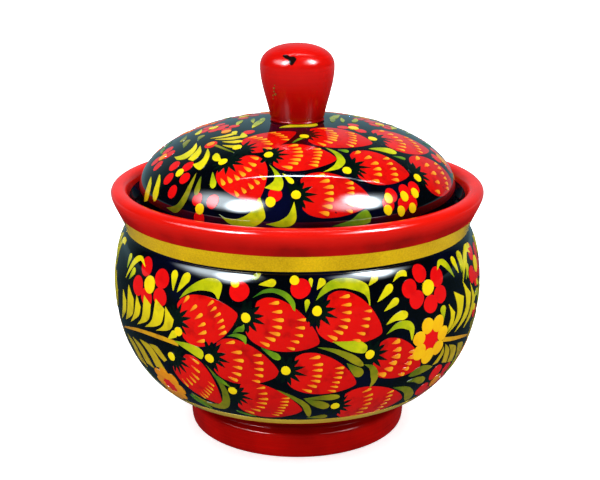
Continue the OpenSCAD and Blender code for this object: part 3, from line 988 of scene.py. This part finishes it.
def make_lid():
    outline = np.concatenate([[(0, dome_z - dome_t)], dome_inside(), dome_outside(), [(0, dome_z)]])
    wood = revolve("lid_wood", "lid", outline, ground_paint())
    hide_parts("lid")
    brush = Brush(11)
    for side, slip in ((1, 0.0), (-1, 0.35)):
        brush.move = lambda p, k=side: p * k
        brush.slip = slip
        lid_half(brush)
    for coat in painted("lid", "lid", lid_skin, brush):
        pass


def make_knob():
    # Painted shade: the knob turns darker red downwards from near its top
    knob_red = red_paint("knob_red", linear(204, 10, 3), linear(146, 4, 2), 0.6,
                         linear(112, 2, 2), (dome_z - 1, dome_z + 23), 0.17)
    outline = np.concatenate([[(0, dome_z)], knob_side()[:-1], [(0, knob_top)]])
    wood = revolve("knob_wood", "lid", outline, knob_red)
    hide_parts("knob")
    brush = Brush(3)
    brush.move = lambda p: p * (SHEET_R / KNOB_SHEET_R, 1)
    brush.add("dark_patch", smooth_line(KNOB_DARK_PATCH, 3, closed=True), KNOB_DARK_PATCH[0], KNOB_DARK_PATCH[4])
    for across, s, size in KNOB_SPECKS:
        brush.dot("speck", (across, s), size)
    for coat in painted("knob", "lid", knob_skin, brush):
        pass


# ---- Studio ----

WHITE = (1, 1, 1, 1)
LAMP_TINT = (0.8, 0.92, 1, 1)
# The backdrop that the lacquer mirrors: it fades in towards the back and downwards, and the room is dim
BACKDROP_SIDE = (0.45, 0.95)
BACKDROP_TOP = (0.85, 0.5)
BACKDROP_LIGHT = 0.4
BACKDROP_TINT = (0.5, 0.88, 1.0, 1.0)
ROOM_LIGHT = 0.02


def toward(angle, rise):
    """The direction at an angle round the bowl and a rise above the horizon, both in degrees."""
    a, e = math.radians(angle), math.radians(rise)
    return Vector((math.sin(a) * math.cos(e), -math.cos(a) * math.cos(e), math.sin(e)))


# Lamps that light the paint: direction, width in degrees, brightness
LAMPS = {
    "key_left": (toward(-58, 58), 45, 4.6),
    "key_right": (toward(58, 56), 45, 4.0),
    "fill_front": (toward(0, 25), 40, 0.8),
    "fill_back": (toward(180, 40), 50, 3.0),
}
# What the lacquer mirrors: direction, width and height in degrees, brightness, and the way a tube lies
LAMPS_SEEN = [
    (toward(-60, 38), 44, 30, 16),
    (toward(-44, 38), 20, 30, 60),
    (toward(54, 40), 38, 30, 16),
    (toward(58, 42), 18, 30, 60),
    (Vector((0, 0.2, 0.98)), 36, 1.6, 50, Vector((1, 0, 0))),
    (Vector((0.5, 0.17, 0.87)), 12, 1.2, 25, Vector((0.87, 0, -0.5))),
]


def lamp(name, direction, size, radiance):
    """A soft round lamp a metre away. The lacquer doesn't mirror it."""
    light = bpy.data.lights.new(name, "AREA")
    light.shape = "DISK"
    light.size = 2 * math.tan(math.radians(size / 2))
    light.energy = radiance * math.pi * math.pi * light.size**2 / 4
    item = bpy.data.objects.new(name, light)
    aim = Vector((0, 0, 0.07))
    item.location = aim + direction
    item.rotation_euler = (-direction).to_track_quat("-Z", "Y").to_euler()
    item.visible_glossy = False
    bpy.context.scene.collection.objects.link(item)


def softbox(nodes, way, direction, width, height, radiance, side=None):
    """How bright a softbox with blurred edges looks in each direction."""
    side = side or direction.cross(Vector((0, 0, 1))).normalized()
    up = side.cross(direction).normalized()
    spans = ((side, width), (up, height))
    u, v = (nodes.dot(way, axis / math.sin(math.radians(size / 2))) for axis, size in spans)
    away = nodes.math("SQRT", nodes.math("ADD", nodes.math("MULTIPLY", u, u), nodes.math("MULTIPLY", v, v)))
    ahead = nodes.math("GREATER_THAN", nodes.dot(way, direction))
    fade = nodes.ramp(away, 1.5, 0.3, end=radiance, interpolation_type="SMOOTHERSTEP")
    return nodes.math("MULTIPLY", fade, ahead)


def studio():
    """Soft light from above and from both sides. The lacquer mirrors softboxes with blurred edges on both
    sides, two thin tubes overhead, a pale backdrop behind and a dim room."""
    for name, values in LAMPS.items():
        lamp(name, *values)
    world = bpy.data.worlds.new("studio")
    bpy.context.scene.world = world
    nodes = Nodes(world)
    nodes.tree.nodes.clear()
    way = nodes.add("ShaderNodeTexCoord").outputs["Generated"]
    behind = nodes.ramp(nodes.parts(way)["Y"], *BACKDROP_SIDE)
    low = nodes.ramp(nodes.parts(way)["Z"], *BACKDROP_TOP)
    level = nodes.ramp(nodes.math("MULTIPLY", behind, low), 0.0, 1.0, ROOM_LIGHT, BACKDROP_LIGHT)
    boxes = 0.0
    for box in LAMPS_SEEN:
        boxes = nodes.math("ADD", boxes, softbox(nodes, way, *box))
    room = nodes.glow("ShaderNodeBackground", BACKDROP_TINT, level)
    bright = nodes.glow("ShaderNodeBackground", LAMP_TINT, boxes)
    mirrored = nodes.add("ShaderNodeAddShader", {0: room, 1: bright}).outputs[0]
    soft = nodes.glow("ShaderNodeBackground", WHITE, 0.5)
    white = nodes.glow("ShaderNodeBackground", WHITE, 1.05)
    nodes.add("ShaderNodeOutputWorld", {"Surface": nodes.by_ray(white, mirrored, soft)})
    world.cycles.sampling_method = "NONE"


def floor():
    """A pale table without an edge in view. It looks white, but the lacquer mirrors it dim in front, and
    it glows onto the bowl's underside as painted bounce light, dimmer close to the foot as a painted shadow."""
    mesh = bpy.data.meshes.new("table")
    radius = 6.0
    turns = np.linspace(0, 2 * math.pi, 64, endpoint=False)
    mesh.from_pydata([(radius * math.cos(t), radius * math.sin(t), 0) for t in turns], [], [tuple(range(64))])
    nodes = Nodes(bpy.data.materials.new("table_white"))
    away = nodes.add("ShaderNodeVectorMath", {0: nodes.place()}, operation="LENGTH").outputs["Value"]
    nodes.fill(Base_Color=(0.9, 0.9, 0.9, 1), Roughness=0.9, Specular_IOR_Level=0.0, Emission_Color=WHITE,
               Emission_Strength=nodes.ramp(away, 0.2, 1.2, 0.6, 1.05))
    # Painted light: the table glows for other rays, dimmer close to the foot as a painted shadow
    lit = nodes.glow("ShaderNodeEmission", WHITE, nodes.ramp(away, 0.05, 0.13, 0.25, 1.75))
    level = nodes.ramp(nodes.parts(nodes.place())["Y"], 0.15, 0.55, 0.07, BACKDROP_LIGHT)
    dim = nodes.glow("ShaderNodeEmission", BACKDROP_TINT, level)
    look = nodes.by_ray(nodes.shader.outputs[0], dim, lit)
    nodes.put(nodes.tree.nodes["Material Output"].inputs["Surface"], look)
    nodes.owner.cycles.emission_sampling = "NONE"
    mesh.materials.append(nodes.owner)
    table = bpy.data.objects.new("table", mesh)
    bpy.context.scene.collection.objects.link(table)


def camera():
    """The photographer stands a little above the knob, 40 cm from the bowl, and looks down at it."""
    data = bpy.data.cameras.new("camera")
    data.lens = 70.1
    data.sensor_width = 36
    data.shift_x = 0.0045
    eye = bpy.data.objects.new("camera", data)
    eye.location = (0, -0.400, 0.1867)
    tilt = 16.75
    eye.rotation_euler = (math.radians(90 - tilt), 0, 0)
    bpy.context.scene.collection.objects.link(eye)
    bpy.context.scene.camera = eye


bpy.context.scene.view_settings.view_transform = "Standard"
make_bowl()
make_lid()
make_knob()
studio()
floor()
camera()
